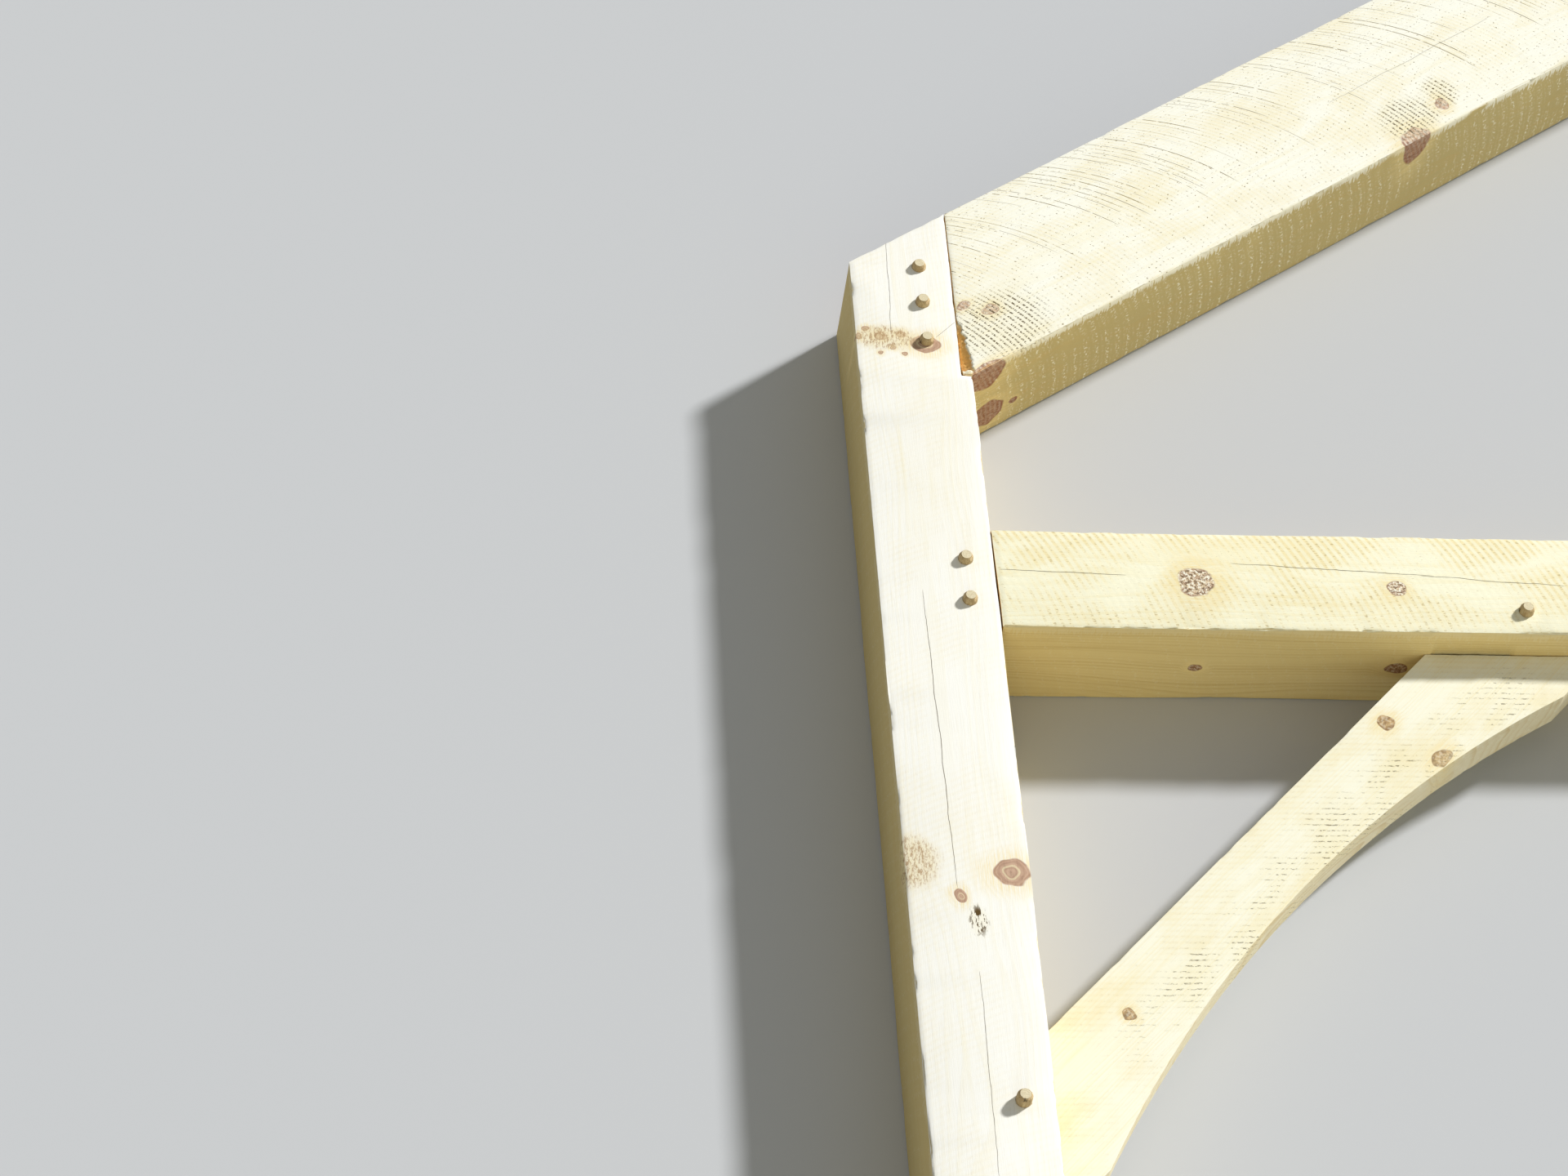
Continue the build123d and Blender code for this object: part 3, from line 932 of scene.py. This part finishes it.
# How each timber came out. The side colours are darker than the faces, partly as painted shade.
post_look = Look(
    (255, 254, 247), (218, 197, 136), band_path, 0.5, 0.1, 0.1,
    grain=0.2, mottle=0.1, rows=0, tear=1.0, rings=0.5, lumps=0.2,
    heart=(200, 162, 132), bark=(170, 126, 98),
)
tie_look = Look(
    (255, 252, 224), (238, 217, 158), band_path, 0.55, 1.0, 1.0,
    specks=0.3, grit=1.0, heart=(226, 198, 160), bark=(150, 100, 78),
)
king_look = Look((255, 253, 240), (236, 218, 164), band_path, 0.6, 0.6, 0.6, specks=0.2, grit=0.2)
rafter_look = Look(
    (255, 254, 241), (206, 189, 134), round_path, 0.42, 0.3, 0.2,
    lines=True, specks=1.0, grit=0.45, highlight_flecks=0.9, grain=0.25, tear=0.93, streaks=0.3,
    heart=(214, 168, 136), bark=(146, 88, 64),
)
brace_look = Look(
    (254, 252, 232), (240, 230, 198), level_path, 0.42, 0.2, 0.2,
    specks=0.12, grit=0.3, highlight_flecks=0.4, mottle=0.5, tear=0.75, sparse=0.035,
    heart=(200, 162, 104), bark=(144, 104, 58),
)

post_knots = [
    knot(left_post, 6.77, -26.98, 0.95, 1.2),
    knot(left_post, 3.35, -28.68, 0.58, 0.38),
    knot(left_post, 4.85, 16.3, 0.72, 1.05),
    knot(left_post, 0.3, 16.9, 0.3, 0.26),
    knot(left_post, 0.82, 17.68, 0.28, 0.32),
    knot(left_post, 1.76, 16.94, 0.3, 0.42),
    knot(left_post, 3.16, 17.21, 0.32, 0.4),
    knot(left_post, 2.62, 15.79, 0.2, 0.24),
    knot(left_post, 1.73, 15.37, 0.18, 0.22),
    knot(left_post, 3.39, 15.35, 0.16, 0.2),
]
tie_knots = [
    knot(tie_beam, 21.5, -4.1, 1.25, 1.15),
    knot(tie_beam, 35.2, -4.4, 0.66, 0.62),
    low_knot(tie_beam, 21.8, 4.4, 0.5, 0.45),
    low_knot(tie_beam, 35.6, 4.2, 0.8, 0.6),
]
rafter_knots = [
    knot(left_rafter, 9.75, 19.6, 0.65, 0.5, reach=1.5),
    knot(left_rafter, 7.9, 19.9, 0.55, 0.4, reach=1.5),
    knot(left_rafter, 46.3, 41.3, 0.6, 0.6, reach=1.5),
    knot(left_rafter, 43.9, 37.5, 1.3, 1.2, reach=2.4),
    low_knot(left_rafter, 9.2, 0.9, 1.6, 1.6),
    low_knot(left_rafter, 10.0, 5.7, 1.4, 1.3),
    low_knot(left_rafter, 12.0, 5.75, 0.35, 0.3),
]
brace_knots = [
    knot(left_brace, 33.6, -13.6, 0.68, 0.6, 2.5, 2.0),
    knot(left_brace, 36.9, -16.4, 0.9, 0.5, 2.5, 2.0),
    knot(left_brace, 13.7, -35.6, 0.42, 0.4, 2.5, 2.0),
]
finishes = {
    "left_post": Pine(
        "post_pine", left_post, post_look, (4.2, 3.6), post_knots,
        checks=[
            check(left_post, (2.55, 17.3), (2.85, 26.5), 0.012),
            check(left_post, (5.7, 16.9), (7.2, 18.4), 0.01),
            check(left_post, (3.25, -28.1), (2.95, -5), 0.016),
            check(left_post, (4.0, -48), (4.1, -34), 0.012),
        ],
        torn=[patch(left_post, 4.4, -30.4, 1.5, 0.75)],
        soiled=[patch(left_post, 0.6, -26.2, 2.6, 2.3), patch(left_post, 2.2, 16.8, 1.5, 3.0)],
    ),
    "right_post": Pine(
        "right_post_pine", right_post, post_look, (3.5, 4.4), stray_knots(right_post, 10, 12),
        checks=[(Vector((20, 4.2)), Vector((75, 4.8)), 0.014)],
    ),
    "tie_beam": Pine(
        "tie_pine", tie_beam, tie_look, (6.5, -1.5), tie_knots + stray_knots(tie_beam, 14, 13, past=50),
        checks=[
            check(tie_beam, (8.2, -3.3), (16.8, -3.6), 0.018),
            check(tie_beam, (24, -2.5), (38, -3.3), 0.018),
            check(tie_beam, (37, -3.3), (47, -4.0), 0.016),
        ],
    ),
    "king_post": Pine(
        "king_post_pine", king_post, king_look, (4.0, 4.0), stray_knots(king_post, 8, 14),
        checks=[(Vector((5, 4.4)), Vector((60, 3.8)), 0.014)],
    ),
    "left_rafter": Pine(
        "rafter_pine", left_rafter, rafter_look, (5.5, 3.0),
        rafter_knots + stray_knots(left_rafter, 9, 15, past=64),
        checks=[check(left_rafter, (37.5, 41), (52, 51), 0.008)],
        torn=[
            patch(left_rafter, 10.5, 18.4, 5.0, 3.8),
            patch(left_rafter, 43.5, 39.8, 3.4, 2.6),
            patch(left_rafter, 46.4, 42.6, 1.8, 2.0),
        ],
        scar=[patch(left_rafter, 7.6, 16, 3.6, 3.0, reach=9)],
    ),
    "right_rafter": Pine(
        "right_rafter_pine", right_rafter, rafter_look, (6.5, 4.0), stray_knots(right_rafter, 12, 16),
        checks=[(Vector((30, 6)), Vector((95, 7.5)), 0.014)],
    ),
    "left_brace": Pine("brace_pine", left_brace, brace_look, (12, 3.5), brace_knots, torn=along_curve),
    "right_brace": Pine(
        "right_brace_pine", right_brace, brace_look, (-3, 4.5), stray_knots(right_brace, 4, 17),
    ),
}

# Timbers
for timber in timbers:
    piece = sawn(timber)
    wear(piece, wane, WANE_DEPTH, timber)
    wear(piece, splinter, SPLINTER_DEPTH, timber)
    if timber is left_rafter:
        tear_corner(piece)
    piece.vertex_groups.clear()
    only(piece)
    bpy.ops.object.shade_smooth_by_angle(angle=math.radians(40))
    piece.data.materials.append(finishes[timber.node].owner)
    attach(piece, "root")
    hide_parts(timber.node)

# Pegs, in inches proud of the front, with the ones that could be measured named
PEG_PROUD = 0.6
PROUD = {
    "left_rafter_foot_peg_3": 0.48,
    "left_rafter_foot_peg_2": 0.56,
    "left_rafter_foot_peg_1": 0.55,
    "left_tie_peg_2": 0.55,
    "left_brace_foot_peg_1": 0.85,
}
draw = random.Random(5)
turned = peg_wood()
for node in peg_nodes:
    piece = peg(node, PROUD.get(node, PEG_PROUD - draw.uniform(0, 0.1)), draw.uniform(0, math.pi))
    piece.data.materials.append(turned)
    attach(piece, "root")
    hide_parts(node)

# Floor, just under the truss
FLOOR_WIDTH = 120
FLOOR_DROP = 0.001
bpy.ops.object.select_all(action="DESELECT")
bpy.ops.mesh.primitive_plane_add(size=FLOOR_WIDTH, location=(0, 0, -FLOOR_DROP))
floor = bpy.context.object
floor.name = "floor"
ground = Finish(bpy.data.materials.new("pale_floor"))
ground.shader.inputs["Base Color"].default_value = paint(203, 205, 208)
ground.shader.inputs["Roughness"].default_value = 0.9
ground.shader.inputs["Specular IOR Level"].default_value = 0.1
floor.data.materials.append(ground.owner)

# Light: a sun that only just misses the rafter's underside, and a weak warm lamp from below the feet,
# for the light that the ground throws back
shine("sun", 4.04, 5, (0.70, 0.483, 0.526))
shine("fill", 0.68, 60, (0.0, -0.95, 0.31), (1.0, 0.92, 0.55))
sky = Finish(bpy.data.worlds.new("sky"), "Background")
bpy.context.scene.world = sky.owner
sky.shader.inputs["Color"].default_value = (0.95, 0.98, 1.0, 1)
sky.shader.inputs["Strength"].default_value = 0.27
seen = sky.node("Background", inputs={"Color": paint(226, 229, 232)})
rays = sky.node("LightPath").outputs["Is Camera Ray"]
either = sky.node("MixShader", inputs={0: rays, 1: sky.shader.outputs[0], 2: seen.outputs[0]})
sky.give(sky.tree.nodes["World Output"].inputs["Surface"], either.outputs[0])

# Camera: where the photograph was taken from, looking up the truss from below its left corner
lens = bpy.data.cameras.new("camera")
lens.lens = 79.019
lens.sensor_width = 36
camera = bpy.data.objects.new("camera", lens)
camera.location = spot(-32.235, -139.07, -180.07)
camera.rotation_euler = Euler([math.radians(a) for a in (36.7687, -5.7899, -3.2839)])
bpy.context.collection.objects.link(camera)
bpy.context.scene.camera = camera
bpy.context.scene.view_settings.view_transform = "Standard"
